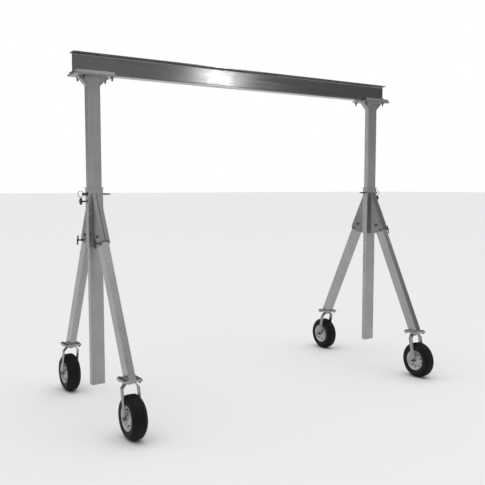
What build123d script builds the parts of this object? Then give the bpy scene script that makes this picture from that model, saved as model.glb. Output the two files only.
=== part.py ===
from build123d import *
import os
from math import atan, cos, radians, sin, sqrt, tan

# Portable gantry crane with telescoping masts, A-frame legs and pneumatic swivel casters.
# Millimetres. X runs along the beam, Y across it, Z up from the floor, origin at mid span.
# A support end is modelled once about its own mast, with -X outward, and placed twice:
# as drawn at the left and turned half round at the right.

# Overall layout
beam_length = 3048.0
under_beam = 2503.0
mast_spacing = 2755.0

# I-beam section
beam_depth = 152.4
flange_width = 84.6
flange_tip = 6.6
flange_root = 12.2
web_thick = 5.9
root_fillet = 7.0

# Mast tube
mast_x = 101.6
mast_y = 50.8
mast_wall = 4.8
mast_foot_z = 219.0
mast_corner = 3.0
hole_pitch = 152.4
hole_count = 6
pin_z = 1641.5

# Mast head
cap_length = 304.8
cap_width = 180.0
cap_thick = 12.7
gusset_reach = 66.0
gusset_thick = 6.4
knee_thick = 4.8
bar_length = 280.0
bar_height = 19.0
bar_lap = 12.0
bar_edge_inset = 3.0
head_bolt_out = 85.0
head_bolt_in = 127.0
head_bolt_y = 68.0
head_bolt_r = 6.35
head_bolt_tail = 20.0

# Collar that slides on the mast
collar_wall = 4.8
collar_bottom = 1250.0
collar_top = 1690.0
lip_reach = 7.0
lip_height = 6.0

# Wing plates that carry the legs
wing_thick = 6.4
wing_top_z = 1641.0
wing_top_width = 10.0
wing_tip_y = 212.0
wing_tip_z = 1312.0
wing_heel_y = 206.0
wing_heel_z = 1289.0
wing_bottom_z = 1254.0
wing_bow = 7.0
wing_seam = 4.0

# Legs
leg_x = 50.8
leg_depth = 88.9
leg_wall = 4.8
leg_shoulder_y = 138.0
leg_head = 22.0
pivot_y = 127.0
pivot_z = 1336.0
pivot_bolt_r = 6.35
foot_y = 605.0
foot_thick = 9.5
foot_size = 132.0

# Swivel casters
plate_thick = 6.4
plate_bolt_pitch = 104.0
plate_bolt_r = 4.8
plate_bolt_tail = 5.0
race_r = 30.0
race_height = 11.0
kingpin_r = 8.0
caster_trail = 48.0
caster_rise = 92.0
crown_thick = 6.4
crown_x = 32.0
fork_gap = 113.0
fork_thick = 6.4
fork_end_r = 20.0
fork_drop = 6.0

# Wheels
wheel_r = 153.0
tyre_width = 106.0
tyre_tread_width = 60.0
tyre_bead_width = 76.0
tyre_bead_r = 78.0
tyre_side_rise = 18.0
tyre_shoulder_drop = 28.0
tyre_rounding = 7.0
tyre_wall = 9.0
rim_wall = 3.0
rim_lip_out = 9.6
rim_lip_up = 11.5
rim_lip_edge = 2.3
disc_offset = 30.0
disc_dish = 12.0
disc_flat = 10.0
disc_slope = 16.0
hub_r = 24.0
hub_length = 104.0
bearing_length = 14.0
bearing_wall = 8.0
axle_r = 8.0
spacer_wall = 5.0

# Height pin and its pull ring
height_pin_r = 6.35
pin_flange_r = 15.0
pin_flange_thick = 4.0
pin_head_r = 10.0
pin_head_length = 30.3
pin_reach = 110.0
pin_nose = 17.0
ring_r = 22.75
ring_wire_r = 2.25
ring_eye_r = 3.75
ring_eye_x = 79.0

# T-handle screws
screw_r = 6.0
screw_nut_height = 9.5
handle_collar = 2.5
upper_screw_z = 1589.0
upper_handle_x = 102.0
upper_handle_r = 9.0
upper_handle_length = 48.0
lower_screw_y = 184.0
lower_screw_z = 1293.0
lower_handle_x = 68.0
lower_handle_r = 5.5
lower_handle_length = 74.0
lower_handle_tilt = 15.0

# Clearances
slip = 0.8
face_gap = 0.3
bore_gap = 0.08
bolt_gap = 0.05
bead_gap = 0.2
weld_lap = 1.0

# Derived places
cap_bottom = under_beam - cap_thick
collar_in_x = mast_x / 2 + slip
collar_in_y = mast_y / 2 + slip
collar_out_x = collar_in_x + collar_wall
collar_out_y = collar_in_y + collar_wall
wing_in_x = leg_x / 2 + face_gap
wing_out_x = wing_in_x + wing_thick
foot_z = 2 * wheel_r + caster_rise
leg_bottom_z = foot_z + foot_thick
leg_lean = (foot_y - leg_shoulder_y) / (pivot_z - leg_bottom_z)
leg_angle = atan(leg_lean)
plate_bottom = foot_z - plate_thick
crown_top = plate_bottom - race_height
crown_bottom = crown_top - crown_thick
axle_y = foot_y + caster_trail
fork_out_x = fork_gap / 2 + fork_thick
hex_ratio = 2 / sqrt(3)
washer_ratio = 2.1
rim_seat_r = tyre_bead_r - face_gap
barrel_in_r = rim_seat_r - rim_wall
ENDS = ("left", "right")


def block(x0, x1, y0, y1, z0, z1):
    """A box between two corners."""
    centre = Pos((x0 + x1) / 2, (y0 + y1) / 2, (z0 + z1) / 2)
    return centre * Box(x1 - x0, y1 - y0, z1 - z0)


def rod_x(x0, x1, y, z, r):
    """A round bar along X."""
    return Pos((x0 + x1) / 2, y, z) * Rot(0, 90, 0) * Cylinder(r, x1 - x0)


def rod_z(x, y, z0, z1, r):
    """A round bar along Z."""
    return Pos(x, y, (z0 + z1) / 2) * Cylinder(r, z1 - z0)


def hexagon_z(x, y, z0, z1, flat):
    """A hexagon nut or bolt head along Z, measured across its flats."""
    outline = RegularPolygon(flat / 2 * hex_ratio, 6)
    return Pos(x, y, z0) * extrude(outline, amount=z1 - z0)


def hexagon_x(x0, x1, y, z, flat):
    """A hexagon nut or bolt head along X, measured across its flats."""
    outline = RegularPolygon(flat / 2 * hex_ratio, 6)
    return Pos(x0, y, z) * Rot(0, 90, 0) * extrude(outline, amount=x1 - x0)


def side_plate(points, x0, x1):
    """A flat shape in the YZ plane, from x0 to x1."""
    outline = Polyline(*[(x0, y, z) for y, z in points], close=True)
    return extrude(make_face(outline), amount=x1 - x0, dir=(1, 0, 0))


def front_plate(points, y0, y1):
    """A flat shape in the XZ plane, from y0 to y1."""
    outline = Polyline(*[(x, y0, z) for x, z in points], close=True)
    return extrude(make_face(outline), amount=y1 - y0, dir=(0, 1, 0))


def turned_x(points, y, z):
    """A ring turned about an X axis through (y, z); points are (x, radius)."""
    outline = make_face(Polyline(*[(x, 0, r) for x, r in points], close=True))
    return Pos(0, y, z) * revolve(outline, Axis.X)


def at_end(shape, end):
    """Places a shape drawn about its own mast at the left or the right end."""
    if end == "left":
        return Pos(-mast_spacing / 2, 0, 0) * shape
    return Pos(mast_spacing / 2, 0, 0) * Rot(0, 0, 180) * shape


def row_of(end, side):
    """The name of a leg's side: the right end is turned round, so its sides swap."""
    return "front" if (side < 0) == (end == "left") else "rear"


def mirrored(shape, side):
    """A shape drawn for +Y, on the +Y or the -Y side."""
    return shape if side > 0 else mirror(shape, Plane.XZ)


def i_beam():
    """The rolled beam, with tapered flanges."""
    half, top, web = flange_width / 2, beam_depth / 2, web_thick / 2
    quarter = [(half, top), (half, top - flange_tip), (web, top - flange_root)]
    lower = [(y, -z) for y, z in reversed(quarter)]
    right = quarter + lower
    outline = right + [(-y, z) for y, z in reversed(right)]
    mid = under_beam + top
    beam = side_plate([(y, z + mid) for y, z in outline], -beam_length / 2, beam_length / 2)
    long_edges = beam.edges().filter_by(Axis.X)
    roots = [e for e in long_edges if abs(abs(e.center().Y) - web) < 0.01]
    return fillet(roots, root_fillet)


def pin_holes(r):
    """Cutters for the row of height holes down a mast."""
    heights = [pin_z - i * hole_pitch for i in range(hole_count)]
    return [rod_x(-mast_x, mast_x, 0, z, r) for z in heights]


def mast():
    """The rectangular mast tube, closed at its foot and drilled for the height pin."""
    tube = block(-mast_x / 2, mast_x / 2, -mast_y / 2, mast_y / 2, mast_foot_z, cap_bottom)
    tube = fillet(tube.edges().filter_by(Axis.Z), mast_corner)
    in_x = mast_x / 2 - mast_wall
    in_y = mast_y / 2 - mast_wall
    tube -= block(-in_x, in_x, -in_y, in_y, mast_foot_z + mast_wall, cap_bottom)
    for hole in pin_holes(height_pin_r + bore_gap):
        tube -= hole
    return tube


def head_bolt_places():
    return [(x, y) for x in (-head_bolt_out, head_bolt_in) for y in (-head_bolt_y, head_bolt_y)]


def cap_plate():
    """The plate on the mast that the beam sits on."""
    half_x, half_y = cap_length / 2, cap_width / 2
    plate = block(-half_x, half_x, -half_y, half_y, cap_bottom, under_beam)
    for x, y in head_bolt_places():
        plate -= rod_z(x, y, cap_bottom, under_beam, head_bolt_r + bolt_gap)
    return plate


def head_gussets():
    """Boxed 45 degree gussets: a front and a back plate each side, closed by a sloping knee."""
    x0, x1, z1 = mast_x / 2, mast_x / 2 + gusset_reach, cap_bottom
    z0 = z1 - gusset_reach
    slant = knee_thick * sqrt(2)
    pieces = []
    for turn in (0, 180):
        for y in (mast_y / 2 - gusset_thick, -mast_y / 2):
            cheek = front_plate([(x0, z0), (x1, z1), (x0, z1)], y, y + gusset_thick)
            pieces.append(Rot(0, 0, turn) * cheek)
        knee = [(x0, z0), (x1, z1), (x1 - slant, z1), (x0, z0 + slant)]
        reach = mast_y / 2 - gusset_thick
        pieces.append(Rot(0, 0, turn) * front_plate(knee, -reach, reach))
    return pieces


def clamp_bars():
    """Two stepped bars that hold the beam's bottom flange down on the cap plate."""
    inner = flange_width / 2 + face_gap
    lip_y = inner - bar_lap
    flange_rise = (flange_root - flange_tip) / (flange_width / 2 - web_thick / 2)
    step_z = under_beam + flange_tip + flange_rise * (flange_width / 2 - lip_y) + face_gap
    top_z = under_beam + bar_height
    outer = cap_width / 2 - bar_edge_inset
    profile = [(inner, under_beam), (outer, under_beam), (outer, top_z)]
    profile += [(lip_y, top_z), (lip_y, step_z), (inner, step_z)]
    pieces = []
    for side in (-1, 1):
        bar = side_plate(profile, -bar_length / 2, bar_length / 2)
        for x in (-head_bolt_out, head_bolt_in):
            bar -= rod_z(x, head_bolt_y, under_beam, top_z, head_bolt_r + bolt_gap)
        pieces.append(mirrored(bar, side))
    return pieces


def head_bolts():
    """Bolts down through the clamp bars and the cap plate, with their nuts below."""
    flat, head = head_bolt_r * 3, head_bolt_r * 1.3
    seat = under_beam + bar_height
    nut = head_bolt_r * 1.7
    pieces = []
    for x, y in head_bolt_places():
        tail = cap_bottom - nut - head_bolt_tail
        bolt = rod_z(x, y, tail, seat, head_bolt_r) + hexagon_z(x, y, seat, seat + head, flat)
        ring = hexagon_z(x, y, cap_bottom - nut, cap_bottom, flat)
        ring -= rod_z(x, y, cap_bottom - nut, cap_bottom, head_bolt_r + bolt_gap)
        pieces += [bolt, ring]
    return pieces


def collar():
    """The outer tube that the mast slides in, with a lip round its mouth and a weld nut."""
    tube = block(-collar_out_x, collar_out_x, -collar_out_y, collar_out_y, collar_bottom, collar_top)
    reach_x, reach_y = collar_out_x + lip_reach, collar_out_y + lip_reach
    tube += block(-reach_x, reach_x, -reach_y, reach_y, collar_top - lip_height, collar_top)
    tube += hexagon_x(-collar_out_x - screw_nut_height, -collar_out_x, 0, upper_screw_z, screw_r * 3)
    tube -= block(-collar_in_x, collar_in_x, -collar_in_y, collar_in_y, collar_bottom, collar_top)
    tube -= rod_x(-collar_out_x, collar_out_x, 0, pin_z, height_pin_r + bore_gap)
    outer_end = -collar_out_x - screw_nut_height
    tube -= rod_x(outer_end, -collar_in_x, 0, upper_screw_z, screw_r + bore_gap)
    return tube


def wing_outline():
    """The outline of a wing plate on the +Y side: a sloping edge and a bowed bottom."""
    top_in = (0, collar_out_y, wing_top_z)
    top_out = (0, collar_out_y + wing_top_width, wing_top_z)
    tip = (0, wing_tip_y, wing_tip_z)
    heel = (0, wing_heel_y, wing_heel_z)
    root = (0, collar_out_y, wing_bottom_z)
    belly = (0, (collar_out_y + wing_heel_y) / 2, (wing_bottom_z + wing_heel_z) / 2 - wing_bow)
    edges = Line(root, top_in) + Polyline(top_in, top_out, tip, heel)
    return make_face(edges + ThreePointArc(heel, belly, root))


def wing_flange(x0, x1):
    """The strip folded in from a wing plate's sloping edge, over the outer face of the leg."""
    top_y = collar_out_y + wing_top_width
    run_y, run_z = wing_tip_y - top_y, wing_tip_z - wing_top_z
    slope = sqrt(run_y**2 + run_z**2)
    in_y, in_z = wing_thick * run_z / slope, -wing_thick * run_y / slope
    edge = [(top_y, wing_top_z), (wing_tip_y, wing_tip_z)]
    return side_plate(edge + [(y + in_y, z + in_z) for y, z in reversed(edge)], x0, x1)


def wing_plates():
    """Four folded plates welded to the collar, in pairs that box in the head of each leg."""
    blank = extrude(wing_outline(), amount=wing_thick, dir=(1, 0, 0))
    nut_flat, nut_bore = screw_r * 3, screw_r + bore_gap
    pieces = []
    for side in (-1, 1):
        for x0 in (-wing_out_x, wing_in_x):
            x1 = x0 + wing_thick
            inner = (x1, -wing_seam / 2) if x0 < 0 else (wing_seam / 2, x0)
            outer = (x0 - screw_nut_height, x0) if x0 < 0 else (x1, x1 + screw_nut_height)
            plate = Pos(x0, 0, 0) * blank + wing_flange(*inner)
            plate += hexagon_x(*outer, lower_screw_y, lower_screw_z, nut_flat)
            plate -= rod_x(min(x0, outer[0]), max(x1, outer[1]), lower_screw_y, lower_screw_z, nut_bore)
            plate -= rod_x(x0, x1, pivot_y, pivot_z, pivot_bolt_r + bolt_gap)
            pieces.append(mirrored(plate, side))
    return pieces


def pivot_bolts():
    """One bolt through each pair of wings and the leg between them, with its nut."""
    flat, head, nut = pivot_bolt_r * 3, pivot_bolt_r * 1.3, pivot_bolt_r * 1.7
    tail = wing_out_x + nut + pivot_bolt_r
    pieces = []
    for side in (-1, 1):
        y = side * pivot_y
        bolt = rod_x(-wing_out_x, tail, y, pivot_z, pivot_bolt_r)
        bolt += hexagon_x(-wing_out_x - head, -wing_out_x, y, pivot_z, flat)
        ring = hexagon_x(wing_out_x, wing_out_x + nut, y, pivot_z, flat)
        ring -= rod_x(wing_out_x, wing_out_x + nut, y, pivot_z, pivot_bolt_r + bolt_gap)
        pieces += [bolt, ring]
    return pieces


def leg_outline(inset, top_extra, bottom_z):
    """The leg's outline in YZ on the +Y side: square cut at its top, level at its foot."""
    along_y, along_z = -sin(leg_angle), cos(leg_angle)
    out_y, out_z = cos(leg_angle), sin(leg_angle)
    top = leg_head + top_extra
    reach = leg_depth / 2 - inset
    ends = []
    for sign in (-1, 1):
        edge_y = leg_shoulder_y + sign * reach * out_y
        edge_z = pivot_z + sign * reach * out_z
        foot = (edge_z - bottom_z) / along_z
        high = (edge_y + top * along_y, edge_z + top * along_z)
        low = (edge_y - foot * along_y, bottom_z)
        ends.append((high, low))
    (inner_top, inner_foot), (outer_top, outer_foot) = ends
    return [inner_top, outer_top, outer_foot, inner_foot]


def plate_bolt_places():
    step = plate_bolt_pitch / 2
    return [(x, foot_y + y) for x in (-step, step) for y in (-step, step)]


def leg():
    """A leaning rectangular tube and the drilled foot plate welded under it, on the +Y side."""
    tube = side_plate(leg_outline(0, 0, leg_bottom_z), -leg_x / 2, leg_x / 2)
    inside = leg_x / 2 - leg_wall
    tube -= side_plate(leg_outline(leg_wall, leg_wall, leg_bottom_z), -inside, inside)
    tube -= rod_x(-leg_x / 2, leg_x / 2, pivot_y, pivot_z, pivot_bolt_r + bore_gap)
    half = foot_size / 2
    foot = block(-half, half, foot_y - half, foot_y + half, foot_z, leg_bottom_z)
    for x, y in plate_bolt_places():
        foot -= rod_z(x, y, foot_z, leg_bottom_z, plate_bolt_r + bolt_gap)
    return [tube, foot]


def caster_plate():
    """The caster's top plate, with the kingpin's hole."""
    half = foot_size / 2
    plate = block(-half, half, foot_y - half, foot_y + half, plate_bottom, foot_z)
    for x, y in plate_bolt_places():
        plate -= rod_z(x, y, plate_bottom, foot_z, plate_bolt_r + bolt_gap)
    return plate - rod_z(0, foot_y, plate_bottom, foot_z, kingpin_r + bolt_gap)


def plate_bolts():
    """Four bolts through the foot plate and the caster plate, with their nuts."""
    flat, head, nut = plate_bolt_r * 3, plate_bolt_r * 1.3, plate_bolt_r * 1.7
    pieces = []
    for x, y in plate_bolt_places():
        bolt = rod_z(x, y, plate_bottom - nut - plate_bolt_tail, leg_bottom_z, plate_bolt_r)
        bolt += hexagon_z(x, y, leg_bottom_z, leg_bottom_z + head, flat)
        ring = hexagon_z(x, y, plate_bottom - nut, plate_bottom, flat)
        ring -= rod_z(x, y, plate_bottom - nut, plate_bottom, plate_bolt_r + bolt_gap)
        pieces += [bolt, ring]
    return pieces


def swivel_race():
    """The upper race under the caster plate and the kingpin that the fork turns on."""
    race = rod_z(0, foot_y, crown_top + face_gap, plate_bottom, race_r)
    seat = crown_bottom - face_gap
    pin = rod_z(0, foot_y, seat - crown_thick, foot_z, kingpin_r)
    return race + pin + rod_z(0, foot_y, seat - crown_thick, seat, kingpin_r * washer_ratio)


def fork_strip(half_top, half_low, thick):
    """The bent strip of the fork seen along Y: a level crown, 45 degree shoulders, straight arms."""
    shoulder = half_low - half_top
    down = crown_top - fork_drop
    knee = down - shoulder
    foot = wheel_r - fork_end_r
    cut = thick * tan(radians(22.5))
    right = [(half_top, crown_top), (half_top + cut, crown_top), (half_low, knee + cut), (half_low, foot)]
    bend = knee - cut + fork_drop
    inner = [(half_low - thick, foot), (half_low - thick, bend), (half_top - cut, crown_bottom)]
    half = right[1:] + inner
    return half + [(-x, z) for x, z in reversed(half)]


def fork():
    """The caster fork: one bent strip, its arms running back to the axle, and the lower race."""
    outline = fork_strip(crown_x, fork_out_x, fork_thick)
    strip = front_plate(outline, foot_y - foot_size, axle_y + foot_size)
    half = fork_end_r
    lean = [(foot_y - half, crown_top), (foot_y + half, crown_top)]
    lean += [(axle_y + half, wheel_r), (axle_y - half, wheel_r)]
    side_view = side_plate(lean, -fork_out_x, fork_out_x)
    side_view += rod_x(-fork_out_x, fork_out_x, axle_y, wheel_r, half)
    fork_body = (strip & side_view) + rod_z(0, foot_y, crown_bottom, crown_top, race_r)
    fork_body -= rod_x(-fork_out_x, fork_out_x, axle_y, wheel_r, axle_r + bolt_gap)
    return fork_body - rod_z(0, foot_y, crown_bottom, crown_top, kingpin_r + bore_gap)


def axle():
    """The axle bolt, its nut and the spacers that centre the wheel in the fork."""
    flat, head, nut = axle_r * 3, axle_r * 1.2, axle_r * 1.5
    bolt = rod_x(-fork_out_x, fork_out_x + nut + axle_r / 2, axle_y, wheel_r, axle_r)
    bolt += hexagon_x(-fork_out_x - head, -fork_out_x, axle_y, wheel_r, flat)
    ring = hexagon_x(fork_out_x, fork_out_x + nut, axle_y, wheel_r, flat)
    ring -= rod_x(fork_out_x, fork_out_x + nut, axle_y, wheel_r, axle_r + bolt_gap)
    pieces = [bolt, ring]
    near, far = hub_length / 2 + face_gap, fork_gap / 2
    for x0, x1 in ((-far, -near), (near, far)):
        spacer = rod_x(x0, x1, axle_y, wheel_r, axle_r + spacer_wall)
        pieces.append(spacer - rod_x(x0, x1, axle_y, wheel_r, axle_r + bolt_gap))
    return pieces


def tyre_section(inset, foot_r):
    """The tyre's outline in XZ, shrunk by an inset all round, with its feet at foot_r."""
    side, tread = tyre_width / 2 - inset, (tyre_tread_width - inset) / 2
    foot = tyre_bead_width / 2 - inset
    low, high = tyre_bead_r + tyre_side_rise, wheel_r - tyre_shoulder_drop
    right = [(tread, wheel_r - inset), (side, high), (side, low), (foot, foot_r)]
    left = [(-x, r) for x, r in reversed(right)]
    outline = make_face(Polyline(*[(x, 0, r) for x, r in right + left], close=True))
    return fillet(outline.vertices(), tyre_rounding)


def tyre():
    """The air-filled tyre: a rounded hollow ring, open between its beads."""
    skin = tyre_section(0, tyre_bead_r)
    air = tyre_section(tyre_wall, tyre_bead_r - tyre_wall)
    return Pos(0, axle_y, wheel_r) * revolve(skin - air, Axis.X)


def rim_disc(side):
    """One pressed disc of the rim, dished from the hub out to the barrel."""
    near, far = disc_offset, disc_offset + disc_dish
    bend_in, bend_out = hub_r + disc_flat, hub_r + disc_flat + disc_slope
    rise = [(far, hub_r - weld_lap), (far, bend_in), (near, bend_out), (near, barrel_in_r + weld_lap)]
    back = [(x - rim_wall, r) for x, r in reversed(rise)]
    return turned_x([(side * x, r) for x, r in rise + back], axle_y, wheel_r)


def rim():
    """A rim of two pressed discs on a hub tube, with a roller bearing in each end of the hub."""
    half = tyre_bead_width / 2 + bead_gap
    lip = [(half, rim_seat_r), (half + rim_lip_out, rim_seat_r + rim_lip_up)]
    lip += [(half + rim_lip_out + rim_lip_edge, rim_seat_r + rim_lip_up - rim_lip_edge)]
    lip += [(half + rim_wall / 2, barrel_in_r)]
    barrel = lip + [(-x, r) for x, r in reversed(lip)]
    wheel = turned_x(barrel, axle_y, wheel_r) + rim_disc(-1) + rim_disc(1)
    wheel += rod_x(-hub_length / 2, hub_length / 2, axle_y, wheel_r, hub_r)
    bearing_r = axle_r + bore_gap + bearing_wall
    wheel -= rod_x(-hub_length / 2, hub_length / 2, axle_y, wheel_r, bearing_r)
    pieces = [wheel]
    for x0 in (-hub_length / 2, hub_length / 2 - bearing_length):
        bearing = rod_x(x0, x0 + bearing_length, axle_y, wheel_r, bearing_r)
        pieces.append(bearing - rod_x(x0, x0 + bearing_length, axle_y, wheel_r, axle_r + bore_gap))
    return pieces


def height_pin():
    """The pull pin through the collar and the mast, with a flange, an eyed head and a tapered nose."""
    seat = -collar_out_x - face_gap
    flange_end = seat - pin_flange_thick
    head_end = flange_end - pin_head_length
    pin = rod_x(flange_end, pin_reach, 0, pin_z, height_pin_r)
    pin += rod_x(flange_end, seat, 0, pin_z, pin_flange_r)
    pin += rod_x(head_end, flange_end, 0, pin_z, pin_head_r)
    nose = Rot(0, 90, 0) * Cone(height_pin_r, height_pin_r / 2, pin_nose)
    pin += Pos(pin_reach + pin_nose / 2, 0, pin_z) * nose
    return pin - rod_z(-ring_eye_x, 0, pin_z - pin_head_r, pin_z + pin_head_r, ring_eye_r)


def ring_centre_x():
    """The ring hangs outward from the eye, its wire about centred in the eye."""
    bow = ring_r - sqrt(ring_r**2 - pin_head_r**2)
    return -ring_eye_x + bow / 2 - ring_r


def pull_ring():
    """The ring that the height pin is pulled by."""
    return Pos(ring_centre_x(), 0, pin_z) * Rot(90, 0, 0) * Torus(ring_r, ring_wire_r)


def t_screw(tip_x, handle_x, y, z, bar):
    """A clamp screw along X with a T-handle at its outer end; bar is (radius, length, tilt)."""
    bar_r, length, tilt = bar
    collar_r = bar_r + handle_collar
    stem = rod_x(-handle_x, -tip_x, y, z, screw_r)
    hub = rod_x(-handle_x - collar_r, -handle_x + collar_r, y, z, collar_r)
    return stem + hub + Pos(-handle_x, y, z) * Rot(tilt, 0, 0) * Cylinder(bar_r, length)


def upper_screw():
    tip = mast_x / 2 + face_gap
    bar = (upper_handle_r, upper_handle_length, 0)
    return t_screw(tip, upper_handle_x, 0, upper_screw_z, bar)


def lower_screw():
    tip = leg_x / 2 + face_gap
    bar = (lower_handle_r, lower_handle_length, lower_handle_tilt)
    return t_screw(tip, lower_handle_x, lower_screw_y, lower_screw_z, bar)


def solids_of(shape):
    """A flat list of the solids in a shape or a list of shapes."""
    shapes = shape if isinstance(shape, list) else [shape]
    return [solid for one in shapes for solid in one.solids()]


def save(name, shape):
    export_step(Compound(solids_of(shape)), os.path.join("parts", name + ".step"))


def save_at_ends(name, shape):
    """Writes one file for each end of the crane."""
    for end in ENDS:
        save(end + "_" + name, [at_end(solid, end) for solid in solids_of(shape)])


def save_at_legs(name, shape):
    """Writes one file for each of the four legs, from a shape drawn on the +Y side."""
    for end in ENDS:
        for side in (-1, 1):
            placed = [at_end(mirrored(solid, side), end) for solid in solids_of(shape)]
            save("_".join((end, row_of(end, side), name)), placed)


os.makedirs("parts", exist_ok=True)
save("i_beam", i_beam())
for part_name, make in (
    ("mast", mast),
    ("cap_plate", cap_plate),
    ("head_gussets", head_gussets),
    ("clamp_bars", clamp_bars),
    ("head_bolts", head_bolts),
    ("collar", collar),
    ("wing_plates", wing_plates),
    ("pivot_bolts", pivot_bolts),
    ("height_pin", height_pin),
    ("pull_ring", pull_ring),
    ("upper_screw", upper_screw),
):
    save_at_ends(part_name, make())
for part_name, make in (
    ("leg", leg),
    ("lower_screw", lower_screw),
    ("caster_plate", caster_plate),
    ("plate_bolts", plate_bolts),
    ("swivel_race", swivel_race),
    ("fork", fork),
    ("axle", axle),
    ("rim", rim),
    ("tyre", tyre),
):
    save_at_legs(part_name, make())
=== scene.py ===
# %% [markdown]
# # A portable gantry crane, dressed up in Blender
#
# The crane is an aluminium I-beam on two telescoping masts. Each mast slides in a welded collar,
# and each collar stands on two leaning legs with air-filled swivel casters. The engineering model
# already gives every tube, plate and bolt its true size and place. This lesson loads that model as
# a fixed frame, gives each part the finish that it has in the workshop, and adds what only the eye
# needs: tread on the tyres, weld beads, threads, washers and rounded handles.

# %% Load the frame
from math import cos, pi, radians, sin

import bmesh
import bpy
from mathutils import Matrix, Vector


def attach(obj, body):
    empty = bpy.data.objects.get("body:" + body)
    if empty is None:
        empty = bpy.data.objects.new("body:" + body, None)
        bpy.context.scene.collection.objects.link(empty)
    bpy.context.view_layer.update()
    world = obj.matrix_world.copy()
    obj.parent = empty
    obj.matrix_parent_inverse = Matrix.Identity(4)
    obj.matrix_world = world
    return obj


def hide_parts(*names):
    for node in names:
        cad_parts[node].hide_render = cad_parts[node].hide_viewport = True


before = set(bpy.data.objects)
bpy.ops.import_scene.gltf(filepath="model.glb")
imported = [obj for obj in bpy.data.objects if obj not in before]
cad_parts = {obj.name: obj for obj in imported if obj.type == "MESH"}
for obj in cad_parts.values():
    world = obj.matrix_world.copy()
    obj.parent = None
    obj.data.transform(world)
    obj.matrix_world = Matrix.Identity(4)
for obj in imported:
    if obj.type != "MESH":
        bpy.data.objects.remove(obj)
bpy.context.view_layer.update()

# %% [markdown]
# ## The camera
#
# A camera is described by where it stands, where it looks and how long its lens is. This one
# stands at eye height, in front of the crane and to its left, and looks across the beam and
# slightly down, so that both ends show. It is made first, because everything is judged through it.

# %% Place the camera
camera_data = bpy.data.cameras.new("studio_camera")
camera = bpy.data.objects.new("studio_camera", camera_data)
bpy.context.scene.collection.objects.link(camera)
camera.location = (-3.1199, -4.6978, 1.6887)
camera.rotation_euler = (radians(90 - 4.73), 0, radians(-32.93))
camera_data.sensor_width = 36
camera_data.lens = 49.2
bpy.context.scene.camera = camera
bpy.context.scene.view_settings.view_transform = "Standard"
print("camera at", tuple(round(c, 2) for c in camera.location), "lens", camera_data.lens)

# %% [markdown]
# ## Floor and light
#
# The crane is shown in a white studio. A wide pale floor stands for the paper roll. Metal shows
# what it reflects, so the light is what makes it look like metal: soft bright patches on a grey
# wall give the tubes a light face and a dark face, and one small panel in front puts the bright
# glow on the beam's web. The camera sees plain white behind the crane instead of the grey wall.

# %% Lay the floor
bpy.ops.object.select_all(action="DESELECT")
bpy.ops.mesh.primitive_plane_add(size=400, location=(0, 0, 0))
floor = bpy.context.object
floor.name = "studio_floor"
floor_material = bpy.data.materials.new("studio_paper")
floor_material.use_nodes = True
paper = floor_material.node_tree.nodes["Principled BSDF"]
paper.inputs["Base Color"].default_value = (0.93, 0.93, 0.93, 1)
paper.inputs["Roughness"].default_value = 0.9
floor.data.materials.append(floor_material)
print("floor laid,", floor.dimensions.x, "m wide")

# %% Light the studio
def soft_panel(name, place, target, width, height, power):
    """An area light that faces a target and doesn't show in the picture itself."""
    light = bpy.data.lights.new(name, "AREA")
    light.shape = "RECTANGLE"
    light.size, light.size_y, light.energy = width, height, power
    panel = bpy.data.objects.new(name, light)
    bpy.context.scene.collection.objects.link(panel)
    panel.location = place
    panel.rotation_euler = (Vector(target) - Vector(place)).to_track_quat("-Z", "Y").to_euler()
    panel.visible_camera = False
    return panel


soft_panel("web_glow", place=(3.03, -5.6, 3.65), target=(-0.2, 0, 2.58), width=0.3, height=0.5,
           power=11)

world = bpy.data.worlds.new("studio_air")
bpy.context.scene.world = world
world.use_nodes = True
air = world.node_tree
air.nodes.clear()


def air_node(kind, **settings):
    made = air.nodes.new("ShaderNode" + kind)
    for name, value in settings.items():
        setattr(made, name, value)
    return made


def glow_towards(direction, start, strength):
    """A soft bright patch of the studio's wall, round one direction."""
    facing = air_node("VectorMath", operation="DOT_PRODUCT")
    air.links.new(way.outputs["Generated"], facing.inputs[0])
    facing.inputs[1].default_value = Vector(direction).normalized()
    fade = air_node("MapRange", interpolation_type="SMOOTHSTEP")
    fade.inputs["From Min"].default_value = start
    fade.inputs["To Max"].default_value = strength
    air.links.new(facing.outputs["Value"], fade.inputs["Value"])
    return fade.outputs["Result"]


way = air_node("TexCoord")
overhead = glow_towards((0, 0, 1), 0.3, 1.45)
behind_left = glow_towards((-1, 0.95, 0.1), 0.88, 0.9)
in_front = glow_towards((0.2, -1, 0.0), 0.9, 0.45)
front_right = glow_towards((0.68, -0.73, 0.15), 0.95, 0.15)
patches = [overhead, behind_left, in_front, front_right]
GREY_WALL = 0.1
total = patches[0]
for patch in patches[1:]:
    plus = air_node("Math", operation="ADD")
    air.links.new(total, plus.inputs[0])
    air.links.new(patch, plus.inputs[1])
    total = plus.outputs[0]
wall = air_node("Math", operation="ADD")
air.links.new(total, wall.inputs[0])
wall.inputs[1].default_value = GREY_WALL
seen = air_node("Background")
seen.inputs["Color"].default_value = (1, 1, 1, 1)
fill = air_node("Background")
fill.inputs["Color"].default_value = (1, 1, 1, 1)
air.links.new(wall.outputs[0], fill.inputs["Strength"])
path = air_node("LightPath")
choose = air_node("MixShader")
out = air_node("OutputWorld")
air.links.new(path.outputs["Is Camera Ray"], choose.inputs[0])
air.links.new(fill.outputs[0], choose.inputs[1])
air.links.new(seen.outputs[0], choose.inputs[2])
air.links.new(choose.outputs[0], out.inputs["Surface"])
print("studio lit")

# %% [markdown]
# ## Mill-finish aluminium
#
# Extruded aluminium leaves the die with fine draw lines along its length, a cloudy grey skin and
# a few scratches. One function makes that finish: a noise pattern that is stretched along the
# metal gives the draw lines, a large soft noise gives the clouds, and both shape the roughness. A
# bevel node bends the light at the edges as if they were a little rounded.

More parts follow.
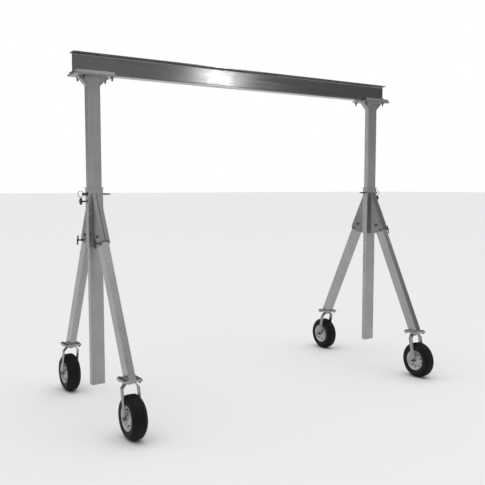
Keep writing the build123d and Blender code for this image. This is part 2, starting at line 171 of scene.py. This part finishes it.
# %% Make the aluminium finishes
def add(tree, kind, **settings):
    """A new shader node with its plain settings."""
    made = tree.nodes.new("ShaderNode" + kind)
    for name, value in settings.items():
        setattr(made, name, value)
    return made


def noise(tree, source, scale, detail, rough=0.5):
    made = add(tree, "TexNoise")
    made.inputs["Scale"].default_value = scale
    made.inputs["Detail"].default_value = detail
    made.inputs["Roughness"].default_value = rough
    tree.links.new(source, made.inputs["Vector"])
    return made.outputs["Fac"]


def ramp(tree, source, low, high, at=(0.3, 0.7)):
    """Turns a 0 to 1 pattern into a blend between two greys or colours."""
    made = add(tree, "ValToRGB")
    for stop, place, colour in zip(made.color_ramp.elements, at, (low, high)):
        stop.position = place
        stop.color = (*colour, 1) if isinstance(colour, tuple) else (colour, colour, colour, 1)
    tree.links.new(source, made.inputs["Fac"])
    return made.outputs["Color"]


def multiply(tree, first, second, amount=1.0):
    made = add(tree, "Mix", data_type="RGBA", blend_type="MULTIPLY")
    made.inputs["Factor"].default_value = amount
    tree.links.new(first, made.inputs["A"])
    tree.links.new(second, made.inputs["B"])
    return made.outputs["Result"]


def metal(name, light, dark, rough, stretch, turn=(0, 0, 0), bump=0.15, metallic=1.0):
    """A metal with draw lines along the axis where stretch is smallest."""
    made = bpy.data.materials.new(name)
    made.use_nodes = True
    tree = made.node_tree
    shader = tree.nodes["Principled BSDF"]
    shader.inputs["Metallic"].default_value = metallic
    place = add(tree, "TexCoord").outputs["Object"]
    lined = add(tree, "Mapping")
    lined.inputs["Rotation"].default_value = turn
    lined.inputs["Scale"].default_value = stretch
    tree.links.new(place, lined.inputs["Vector"])
    lines = noise(tree, lined.outputs["Vector"], 60, 4, 0.7)
    clouds = noise(tree, place, 4.5, 4, 0.55)
    grain = noise(tree, place, 900, 2)
    colour = multiply(tree, ramp(tree, clouds, dark, light), ramp(tree, lines, 0.86, 1.0), 0.8)
    tree.links.new(colour, shader.inputs["Base Color"])
    spread = multiply(tree, ramp(tree, lines, rough * 0.8, rough * 1.15), ramp(tree, clouds, 1.0, 0.8))
    tree.links.new(spread, shader.inputs["Roughness"])
    soft_edge = add(tree, "Bevel", samples=4)
    soft_edge.inputs["Radius"].default_value = 0.0012
    height = multiply(tree, ramp(tree, lines, 0.0, 1.0), ramp(tree, grain, 0.7, 1.0), 0.6)
    relief = add(tree, "Bump")
    relief.inputs["Strength"].default_value = bump
    relief.inputs["Distance"].default_value = 0.0004
    tree.links.new(height, relief.inputs["Height"])
    tree.links.new(soft_edge.outputs["Normal"], relief.inputs["Normal"])
    tree.links.new(relief.outputs["Normal"], shader.inputs["Normal"])
    return made


LEAN = 26.7
along_x, along_z, even = (0.03, 1, 1), (1, 1, 0.03), (0.5, 0.5, 0.5)
beam_metal = metal("beam_mill_finish", (0.27, 0.27, 0.275), (0.22, 0.22, 0.225), 0.22, along_x)
mast_metal = metal("mast_mill_finish", (0.44, 0.44, 0.45), (0.37, 0.37, 0.38), 0.42, along_z)
collar_metal = metal("collar_mill_finish", (0.42, 0.42, 0.43), (0.35, 0.35, 0.36), 0.42, along_z)
plate_metal = metal("plate_mill_finish", (0.4, 0.4, 0.41), (0.33, 0.33, 0.34), 0.4, along_x)
bar_metal = metal("bar_milled", (0.62, 0.62, 0.62), (0.54, 0.54, 0.54), 0.35, along_x)
# The wing plates take a darker copy of the collar's aluminium: the darker grey is painted shade,
# standing in for the shade that falls on the wings' fronts.
shaded_wing_metal = metal("wing_mill_finish_painted_shade", (0.27, 0.27, 0.275), (0.21, 0.21, 0.215), 0.42, even)
leg_metals = {
    side: metal("leg_mill_finish_" + side, (0.42, 0.42, 0.43), (0.35, 0.35, 0.36), 0.33, along_z,
                turn=(radians(lean), 0, 0))
    for side, lean in (("front", LEAN), ("rear", -LEAN))
}
zinc = metal("zinc_plating", (0.36, 0.36, 0.355), (0.28, 0.28, 0.275), 0.38, (1, 1, 1), metallic=0.95)
rim_paint = metal("rim_paint", (0.62, 0.63, 0.64), (0.52, 0.53, 0.54), 0.45, (1, 1, 1), metallic=0.4)
dark_bolt = metal("dark_bolt_steel", (0.16, 0.16, 0.17), (0.1, 0.1, 0.11), 0.4, (1, 1, 1))
black_handle = metal("black_handle_steel", (0.1, 0.1, 0.1), (0.06, 0.06, 0.06), 0.45, (1, 1, 1))
pin_steel = metal("pin_steel", (0.15, 0.15, 0.16), (0.1, 0.1, 0.11), 0.35, (1, 1, 1))
ring_steel = metal("ring_steel", (0.24, 0.24, 0.25), (0.17, 0.17, 0.18), 0.3, (1, 1, 1))
print("made", len(bpy.data.materials), "materials")

# %% [markdown]
# ## The finish of each part
#
# Every part of the frame takes its finish from its name.

# %% Hand out the finishes
finishes = {
    "i_beam": beam_metal, "mast": mast_metal, "cap_plate": plate_metal, "head_gussets": plate_metal,
    "clamp_bars": bar_metal, "head_bolts": dark_bolt, "collar": collar_metal,
    "wing_plates": shaded_wing_metal, "pivot_bolts": dark_bolt, "height_pin": pin_steel,
    "pull_ring": ring_steel, "upper_screw": black_handle, "lower_screw": black_handle,
    "caster_plate": zinc, "plate_bolts": dark_bolt, "swivel_race": zinc, "fork": zinc,
    "axle": dark_bolt, "rim": rim_paint, "tyre": black_handle,
}
for name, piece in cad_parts.items():
    side = "front" if "_front_" in name else "rear"
    finish = leg_metals[side] if name.endswith("_leg") else None
    for ending, material in finishes.items():
        if name.endswith(ending):
            finish = material
    piece.data.materials.clear()
    piece.data.materials.append(finish)
print("finished", len(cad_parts), "frame parts")

# %% [markdown]
# ## Helpers for modelling by hand
#
# Each new piece starts as a primitive, is shaped in edit mode, and ends with its place applied, so
# that its object sits at the origin. Pieces that repeat are modelled once about the left end's own
# mast, on its rear side, and copied: the right end is the same end turned half round.

# %% Helpers
HALF_SPAN = 2.755 / 2
ENDS = ("left", "right")


def start(name, primitive, **settings):
    """Adds a primitive with nothing else selected."""
    bpy.ops.object.select_all(action="DESELECT")
    primitive(**settings)
    piece = bpy.context.object
    piece.name = name
    return piece


def pick(piece, chosen, mode="VERT"):
    """In edit mode, selects the vertices or faces that a rule chooses."""
    bpy.ops.mesh.select_mode(type=mode)
    bpy.ops.mesh.select_all(action="DESELECT")
    mesh = bmesh.from_edit_mesh(piece.data)
    for part in mesh.verts if mode == "VERT" else mesh.faces:
        if chosen(part):
            part.select_set(True)
    mesh.select_flush_mode()
    bmesh.update_edit_mesh(piece.data)


def close_mesh():
    """In edit mode, merges doubles and turns every face outwards."""
    bpy.ops.mesh.select_all(action="SELECT")
    bpy.ops.mesh.remove_doubles(threshold=0.00001)
    bpy.ops.mesh.normals_make_consistent(inside=False)


def settle(piece, matrix=None):
    """Leaves edit mode, applies the place and any further matrix."""
    if bpy.context.mode == "EDIT_MESH":
        bpy.ops.object.mode_set(mode="OBJECT")
    bpy.ops.object.select_all(action="DESELECT")
    piece.select_set(True)
    bpy.context.view_layer.objects.active = piece
    bpy.ops.object.transform_apply(location=True, rotation=True, scale=True)
    if matrix is not None:
        piece.data.transform(matrix)
        if matrix.determinant() < 0:
            piece.data.flip_normals()
    return piece


def copied(piece, name, matrix):
    """A copy with a mesh of its own, moved by a matrix."""
    twin = piece.copy()
    twin.data = piece.data.copy()
    twin.name = name
    bpy.context.scene.collection.objects.link(twin)
    twin.data.transform(matrix)
    if matrix.determinant() < 0:
        twin.data.flip_normals()
    return twin


def joined(pieces, name):
    """Several pieces as one."""
    bpy.ops.object.select_all(action="DESELECT")
    for piece in pieces:
        piece.select_set(True)
    bpy.context.view_layer.objects.active = pieces[0]
    bpy.ops.object.join()
    pieces[0].name = name
    return pieces[0]


def round_over(piece, angle=35):
    """Smooth shading that keeps the sharp edges."""
    bpy.ops.object.select_all(action="DESELECT")
    piece.select_set(True)
    bpy.context.view_layer.objects.active = piece
    bpy.ops.object.shade_smooth_by_angle(angle=radians(angle))


def at_end(end):
    if end == "left":
        return Matrix.Translation((-HALF_SPAN, 0, 0))
    return Matrix.Translation((HALF_SPAN, 0, 0)) @ Matrix.Rotation(pi, 4, "Z")


def place_at_ends(master, name, body, finish, replaces=None):
    """Copies a piece to both ends and gives each copy its body and finish."""
    master.data.materials.clear()
    master.data.materials.append(finish)
    round_over(master)
    for end in ENDS:
        twin = copied(master, end + "_" + name, at_end(end))
        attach(twin, body if body == "beam_and_masts" else end + "_" + body)
        if replaces:
            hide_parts(end + "_" + replaces)
    print(name, "at both ends,", len(master.data.polygons), "faces each")
    bpy.data.objects.remove(master)


def place_at_legs(master, name, body, finish, replaces=None):
    """Copies a piece that was made on the rear side to all four legs."""
    master.data.materials.clear()
    master.data.materials.append(finish)
    round_over(master)
    for end in ENDS:
        for side in (-1, 1):
            row = "front" if (side < 0) == (end == "left") else "rear"
            prefix = end + "_" + row + "_"
            matrix = at_end(end) @ Matrix.Diagonal((1, side, 1, 1))
            twin = copied(master, prefix + name, matrix)
            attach(twin, end + "_frame" if body == "frame" else prefix + body)
            if replaces:
                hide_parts(prefix + replaces)
    print(name, "at four legs,", len(master.data.polygons), "faces each")
    bpy.data.objects.remove(master)


def rippled_rod(name, begin, end, radius, pitch, depth, sides=12):
    """A rod with even ripples: a screw's thread when fine, a weld bead when coarse."""
    length = (Vector(end) - Vector(begin)).length
    waves = max(2, round(length / pitch))
    rod = start(name, bpy.ops.mesh.primitive_cylinder_add, vertices=sides, radius=radius,
                depth=length)
    bpy.ops.object.mode_set(mode="EDIT")
    bpy.ops.mesh.select_mode(type="EDGE")
    bpy.ops.mesh.select_all(action="DESELECT")
    mesh = bmesh.from_edit_mesh(rod.data)
    for edge in mesh.edges:
        edge.select_set(abs(edge.verts[0].co.z - edge.verts[1].co.z) > length / 2)
    bmesh.update_edit_mesh(rod.data)
    bpy.ops.mesh.subdivide(number_cuts=2 * waves - 1)
    step = length / (2 * waves)
    pick(rod, lambda v: round((v.co.z + length / 2) / step) % 2 == 0)
    share = 1 - depth / radius
    bpy.ops.transform.resize(value=(share, share, 1), center_override=(0, 0, 0))
    turn = (Vector(end) - Vector(begin)).to_track_quat("Z", "Y").to_matrix().to_4x4()
    middle = Matrix.Translation((Vector(begin) + Vector(end)) / 2)
    return settle(rod, middle @ turn)


def drawn_ring(name, outline, steps):
    """Draws a closed outline of (x, radius) points by extruding a point, and spins it about X."""
    piece = start(name, bpy.ops.mesh.primitive_plane_add, size=0.001)
    bpy.ops.object.mode_set(mode="EDIT")
    bpy.ops.mesh.select_mode(type="VERT")
    bpy.ops.mesh.select_all(action="SELECT")
    bpy.ops.mesh.merge(type="CENTER")
    here = Vector((outline[0][0], 0, outline[0][1]))
    bpy.ops.transform.translate(value=here)
    for x, radius in outline[1:] + outline[:1]:
        there = Vector((x, 0, radius))
        bpy.ops.mesh.extrude_region_move(TRANSFORM_OT_translate={"value": there - here})
        here = there
    bpy.ops.mesh.select_all(action="SELECT")
    bpy.ops.mesh.remove_doubles(threshold=0.00001)
    bpy.ops.mesh.spin(steps=steps, angle=2 * pi, center=(0, 0, 0), axis=(1, 0, 0))
    close_mesh()
    return piece


print("helpers ready")

# %% [markdown]
# ## The tyres
#
# The casters run on air-filled tyres: a flat tread with sloped shoulders, both cut into blocks,
# and a plain sidewall that narrows to the rim. The section is drawn once and spun about the axle.
# Every tread face is then inset and raised on its own, which leaves the grooves between the blocks.
# A ring of corners on each side is turned a little first, so that the blocks lie in a herringbone.

# %% Model the tyre
AXLE = Vector((0, 0.653, 0.153))
half_section = [
    (0.0060, 0.1492), (0.0170, 0.1488), (0.0290, 0.1480), (0.0360, 0.1412), (0.0430, 0.1335),
    (0.0492, 0.1262), (0.0516, 0.1215), (0.0521, 0.1165), (0.0526, 0.1155), (0.0526, 0.1125),
    (0.0521, 0.1115), (0.0521, 0.1010), (0.0512, 0.0950), (0.0470, 0.0887), (0.0418, 0.0825),
    (0.0392, 0.0796), (0.0360, 0.0780), (0.0305, 0.0780), (0.0435, 0.0960), (0.0435, 0.1250),
    (0.0250, 0.1425),
]
section = half_section + [(-x, r) for x, r in reversed(half_section)]
tyre = drawn_ring("tyre", section, 56)
pick(tyre, lambda v: 0.016 < abs(v.co.x) < 0.018 and v.co.yz.length > 0.147)
bpy.ops.transform.rotate(value=radians(2.2), orient_axis="X", center_override=(0, 0, 0))


def is_tread(face):
    middle = face.calc_center_median()
    return middle.yz.length + abs(middle.x) > 0.173 or middle.yz.length > 0.147


pick(tyre, is_tread, "FACE")
bpy.ops.mesh.inset(thickness=0.0015, depth=0.0036, use_individual=True)
settle(tyre, Matrix.Translation(AXLE))
print("tyre radius", round(max(v.co.z for v in tyre.data.vertices) - AXLE.z, 4))

# %% [markdown]
# ## Rubber
#
# Tyre rubber is nearly black and dull. Dust greys it a little in patches, and a fine grain breaks
# up what shine it has.

# %% Make the rubber
def rubber(name, dark, dusty, rough):
    made = bpy.data.materials.new(name)
    made.use_nodes = True
    tree = made.node_tree
    shader = tree.nodes["Principled BSDF"]
    shader.inputs["Specular IOR Level"].default_value = 0.3
    place = add(tree, "TexCoord").outputs["Object"]
    patches_of_dust = noise(tree, place, 22, 5, 0.6)
    grain = noise(tree, place, 1400, 3)
    tree.links.new(ramp(tree, patches_of_dust, dark, dusty, (0.45, 0.85)), shader.inputs["Base Color"])
    tree.links.new(ramp(tree, patches_of_dust, rough - 0.1, rough + 0.1), shader.inputs["Roughness"])
    relief = add(tree, "Bump")
    relief.inputs["Strength"].default_value = 0.3
    relief.inputs["Distance"].default_value = 0.0002
    tree.links.new(grain, relief.inputs["Height"])
    tree.links.new(relief.outputs["Normal"], shader.inputs["Normal"])
    return made


tyre_rubber = rubber("tyre_rubber", (0.006, 0.006, 0.0065), (0.018, 0.0175, 0.017), 0.66)
place_at_legs(tyre, "treaded_tyre", "wheel", tyre_rubber, replaces="tyre")

# %% [markdown]
# ## The rims
#
# The rim is pressed from sheet: a barrel with a rolled lip on each side, and two dished discs that
# stand on the hub. Five round holes lighten each disc, and five bolts hold the two halves.

# %% Model the rim
LIP = [(0.0378, 0.0774), (0.0430, 0.0828), (0.0470, 0.0872), (0.0485, 0.0880), (0.0496, 0.0874),
       (0.0500, 0.0862), (0.0490, 0.0848), (0.0445, 0.0800), (0.0395, 0.0748)]
barrel = drawn_ring("rim_barrel", LIP + [(-x, r) for x, r in reversed(LIP)], 64)
settle(barrel)
DISC = [(0.0420, 0.0236), (0.0420, 0.0325), (0.0405, 0.0355), (0.0325, 0.0470), (0.0300, 0.0500),
        (0.0300, 0.0640), (0.0330, 0.0700), (0.0330, 0.0752), (0.0302, 0.0752), (0.0302, 0.0708),
        (0.0272, 0.0650), (0.0272, 0.0492), (0.0295, 0.0462), (0.0378, 0.0340), (0.0390, 0.0320),
        (0.0390, 0.0236)]
disc = drawn_ring("rim_disc", DISC, 64)
settle(disc)
HOLES, HOLE_CIRCLE, DISC_FACE = 5, 0.0575, 0.0298
for i in range(HOLES):
    angle = 2 * pi * i / HOLES
    place = (0.029, HOLE_CIRCLE * sin(angle), HOLE_CIRCLE * cos(angle))
    drill = start("drill", bpy.ops.mesh.primitive_cylinder_add, vertices=28, radius=0.0085,
                  depth=0.02, location=place, rotation=(0, pi / 2, 0))
    settle(drill)
    bpy.context.view_layer.objects.active = disc
    cut = disc.modifiers.new("hole", "BOOLEAN")
    cut.object, cut.operation, cut.solver = drill, "DIFFERENCE", "EXACT"
    bpy.ops.object.modifier_apply(modifier="hole")
    bpy.data.objects.remove(drill)
other_disc = copied(disc, "rim_disc_back", Matrix.Diagonal((-1, 1, 1, 1)))
HUB = [(0.052, 0.0165), (0.052, 0.0225), (0.0505, 0.0240), (0.048, 0.0240), (0.0472, 0.0230),
       (0.0445, 0.0230), (0.0435, 0.0240), (0.0, 0.0240)]
hub = drawn_ring("rim_hub", HUB + [(-x, r) for x, r in reversed(HUB[:-1])], 48)
settle(hub)
rim = joined([barrel, disc, other_disc, hub], "rim")
settle(rim, Matrix.Translation(AXLE))
place_at_legs(rim, "pressed_rim", "wheel", rim_paint, replaces="rim")

# %% [markdown]
# ## Rim bolts and valve
#
# The bolts are chamfered hexagons on thin washers, with the nut on the far disc. The valve is a
# short rubber stem with a ribbed cap, and it leans out from the disc.

# %% Model the rim bolts and the valve
def hexagon_head(name, place, direction, flat, height):
    """A hexagon head with chamfered corners, standing on a place and pointing along a direction."""
    head = start(name, bpy.ops.mesh.primitive_cylinder_add, vertices=6, radius=flat / 2 / cos(pi / 6),
                 depth=height, location=(0, 0, height / 2))
    bpy.ops.object.mode_set(mode="EDIT")
    pick(head, lambda f: f.calc_center_median().z > height * 0.4, "FACE")
    bpy.ops.mesh.inset(thickness=flat * 0.1)
    bpy.ops.transform.translate(value=(0, 0, height * 0.1))
    turn = Vector(direction).to_track_quat("Z", "Y").to_matrix().to_4x4()
    return settle(head, Matrix.Translation(place) @ turn)


def washer(name, place, direction, radius, thick):
    """A flat washer with a rounded rim."""
    ring = start(name, bpy.ops.mesh.primitive_cylinder_add, vertices=32, radius=radius, depth=thick,
                 location=(0, 0, thick / 2))
    bpy.ops.object.mode_set(mode="EDIT")
    pick(ring, lambda f: abs(f.normal.z) > 0.9, "FACE")
    bpy.ops.mesh.inset(thickness=thick * 0.3, depth=thick * 0.2, use_individual=True)
    turn = Vector(direction).to_track_quat("Z", "Y").to_matrix().to_4x4()
    return settle(ring, Matrix.Translation(place) @ turn)


RIM_BOLT, RIM_WASHER = (0.010, 0.0055), (0.0072, 0.0014)
rim_hardware = []
for i in range(HOLES):
    angle = 2 * pi * (i + 0.5) / HOLES
    spot = AXLE + Vector((0, HOLE_CIRCLE * sin(angle), HOLE_CIRCLE * cos(angle)))
    for sign in (-1, 1):
        outward = Vector((sign, 0, 0))
        face = spot + outward * DISC_FACE
        rim_hardware.append(washer("bolt_washer", face, outward, *RIM_WASHER))
        rim_hardware.append(hexagon_head("bolt_head", face + outward * 0.001, outward, *RIM_BOLT))
place_at_legs(joined(rim_hardware, "rim_bolts"), "rim_bolts", "wheel", dark_bolt)
foot = AXLE + Vector((-DISC_FACE, 0, 0.066))
tip = foot + Vector((-0.0135, 0, -0.006))
stem = rippled_rod("valve_stem", foot, tip, 0.0038, 0.006, 0.0004, 16)
cap = rippled_rod("valve_cap", tip, tip + (tip - foot) * 0.35, 0.0042, 0.0016, 0.0004, 16)
place_at_legs(joined([stem, cap], "valve"), "tyre_valve", "wheel", tyre_rubber)

# %% [markdown]
# ## Washers and threads on the bolts
#
# Every structural bolt has a plated washer under its head and its nut, and a threaded end that
# stands out of the nut. The threads are fine ripples round the end of each bolt. The pivot bolts
# and the axles only get washers.

# %% Dress the bolts of the mast head
UP, DOWN = (0, 0, 1), (0, 0, -1)
CAP_BOTTOM, BAR_TOP = 2.4903, 2.522
HEAD_NUT, HEAD_TAIL, HEAD_THREAD = 0.0108, 0.0199, (0.0066, 0.0016, 0.0006, 20)
HEAD_WASHER = (0.0125, 0.0018)
HEAD_BOLTS = [(x, y) for x in (-0.085, 0.127) for y in (-0.068, 0.068)]
plated, threads = [], []
for x, y in HEAD_BOLTS:
    plated.append(washer("washer", (x, y, BAR_TOP), UP, *HEAD_WASHER))
    plated.append(washer("washer", (x, y, CAP_BOTTOM), DOWN, *HEAD_WASHER))
    nut_bottom = CAP_BOTTOM - HEAD_NUT
    tail = (x, y, nut_bottom - HEAD_TAIL)
    threads.append(rippled_rod("thread", (x, y, nut_bottom), tail, *HEAD_THREAD))
place_at_ends(joined(plated, "head_washers"), "head_washers", "beam_and_masts", zinc)
place_at_ends(joined(threads, "head_threads"), "head_bolt_threads", "beam_and_masts",
              dark_bolt)

# %% Dress the pivot bolts and the caster bolts
WING_OUT, PIVOT_Y, PIVOT_Z = 0.0321, 0.127, 1.336
plated = []
for sign in (-1, 1):
    face = (sign * WING_OUT, PIVOT_Y, PIVOT_Z)
    plated.append(washer("washer", face, (sign, 0, 0), *HEAD_WASHER))
place_at_legs(joined(plated, "pivot_washers"), "pivot_washers", "frame", zinc)
FOOT_Y, FOOT_TOP, PLATE_BOTTOM = 0.605, 0.4075, 0.3916
HALF_PITCH, FOOT_WASHER = 0.052, (0.0098, 0.0015)
FOOT_NUT, FOOT_TAIL, FOOT_THREAD = 0.00816, 0.0049, (0.005, 0.0013, 0.0004, 18)
plated, threads = [], []
for x in (-HALF_PITCH, HALF_PITCH):
    for y in (FOOT_Y - HALF_PITCH, FOOT_Y + HALF_PITCH):
        plated.append(washer("washer", (x, y, FOOT_TOP), UP, *FOOT_WASHER))
        plated.append(washer("washer", (x, y, PLATE_BOTTOM), DOWN, *FOOT_WASHER))
        nut_bottom = PLATE_BOTTOM - FOOT_NUT
        tail = (x, y, nut_bottom - FOOT_TAIL)
        threads.append(rippled_rod("thread", (x, y, nut_bottom), tail, *FOOT_THREAD))
place_at_legs(joined(plated, "foot_washers"), "foot_washers", "leg", zinc)
place_at_legs(joined(threads, "foot_threads"), "foot_bolt_threads", "leg", dark_bolt)
FORK_FACE, AXLE_WASHER = 0.0629, (0.0155, 0.002)
axle_washers = []
for sign in (-1, 1):
    face = (sign * FORK_FACE, AXLE.y, AXLE.z)
    axle_washers.append(washer("washer", face, (sign, 0, 0), *AXLE_WASHER))
place_at_legs(joined(axle_washers, "axle_washers"), "axle_washers", "fork", zinc)

# %% [markdown]
# ## T-handle screws
#
# The collar and the legs are locked by screws with a bar through their head. The edges of the bar
# and of its boss are bevelled, and the shank is threaded all along.

# %% Model the T-handles
def t_handle(name, tip_x, handle_x, place, bar_radius, length, tilt):
    """A screw along -X from tip to handle, with a bar across its head."""
    y, z = place
    boss_radius = bar_radius + 0.0025
    shank = rippled_rod("shank", (-tip_x, y, z), (-handle_x, y, z), 0.0060, 0.0018, 0.0006, 20)
    boss = start("boss", bpy.ops.mesh.primitive_cylinder_add, vertices=32, radius=boss_radius,
                 depth=2 * boss_radius, rotation=(0, pi / 2, 0), location=(-handle_x, y, z))
    bpy.ops.object.mode_set(mode="EDIT")
    pick(boss, lambda f: abs(f.normal.z) > 0.9, "FACE")
    bpy.ops.mesh.bevel(offset=boss_radius * 0.25, segments=3, affect="EDGES")
    settle(boss)
    bar = start("bar", bpy.ops.mesh.primitive_cylinder_add, vertices=24, radius=bar_radius,
                depth=length, rotation=(tilt, 0, 0), location=(-handle_x, y, z))
    bpy.ops.object.mode_set(mode="EDIT")
    pick(bar, lambda f: abs(f.normal.z) > 0.9, "FACE")
    bpy.ops.mesh.bevel(offset=bar_radius * 0.25, segments=3, affect="EDGES")
    settle(bar)
    return joined([shank, boss, bar], name)


upper = t_handle("upper", tip_x=0.0511, handle_x=0.102, place=(0, 1.589), bar_radius=0.009,
                 length=0.048, tilt=0)
place_at_ends(upper, "upper_t_handle", "upper_screw", black_handle,
              replaces="upper_screw")
lower = t_handle("lower", tip_x=0.0257, handle_x=0.068, place=(0.184, 1.293), bar_radius=0.0055,
                 length=0.074, tilt=radians(15))
place_at_legs(lower, "lower_t_handle", "lower_screw", black_handle,
              replaces="lower_screw")

# %% [markdown]
# ## Weld beads
#
# The plates are welded on, and each weld leaves a row of small overlapping ripples in its corner.
# A bead is a thin rippled rod half sunk into the corner.

# %% Run the weld beads
weld_metal = metal("weld_bead", (0.5, 0.5, 0.51), (0.3, 0.3, 0.31), 0.35, even)
BEAD, RIPPLE = 0.0032, 0.0034


def bead(begin, end):
    return rippled_rod("bead", begin, end, BEAD, RIPPLE, 0.0008, 10)


COLLAR_Y, WING_IN = 0.031, 0.0257
WELD_TOP, INNER_LOW, OUTER_LOW = 1.634, 1.48, 1.262
beads = []
for sign in (-1, 1):
    for x, low in ((WING_IN, INNER_LOW), (WING_OUT, OUTER_LOW)):
        beads.append(bead((sign * x, COLLAR_Y, low), (sign * x, COLLAR_Y, WELD_TOP)))
place_at_legs(joined(beads, "wing_welds"), "wing_welds", "frame", weld_metal)

MAST_X, MAST_Y, GUSSET, STOP_SHORT = 0.0508, 0.0254, 0.066, 0.004
beads = []
for sx in (-1, 1):
    top = CAP_BOTTOM - BEAD * 0.3
    beads.append(bead((sx * MAST_X, sx * MAST_Y, top), (-sx * MAST_X, sx * MAST_Y, top)))
    for sy in (-1, 1):
        corner, side = (sx * MAST_X, sy * MAST_Y, top), sy * (MAST_Y - 0.001)
        beads.append(bead(corner, (sx * (MAST_X + GUSSET - STOP_SHORT), sy * MAST_Y, top)))
        beads.append(bead((sx * MAST_X, side, top), (sx * MAST_X, side, top - GUSSET + STOP_SHORT)))
place_at_ends(joined(beads, "head_welds"), "head_welds", "beam_and_masts",
              weld_metal)

LEG_FACE, LEG_DEPTH, SHOULDER_Y = 0.0254, 0.0889, 0.138
lean = (FOOT_Y - SHOULDER_Y) / (PIVOT_Z - FOOT_TOP)
half_depth = LEG_DEPTH / 2 * (1 + lean**2) ** 0.5
beads = []
for sign in (-1, 1):
    y = FOOT_Y + sign * half_depth
    beads.append(bead((-LEG_FACE, y, FOOT_TOP), (LEG_FACE, y, FOOT_TOP)))
    x = sign * LEG_FACE
    beads.append(bead((x, FOOT_Y - half_depth, FOOT_TOP), (x, FOOT_Y + half_depth, FOOT_TOP)))
place_at_legs(joined(beads, "foot_welds"), "foot_welds", "leg", weld_metal)

# %% [markdown]
# ## The end
#

# %% Finish
print("crane dressed")
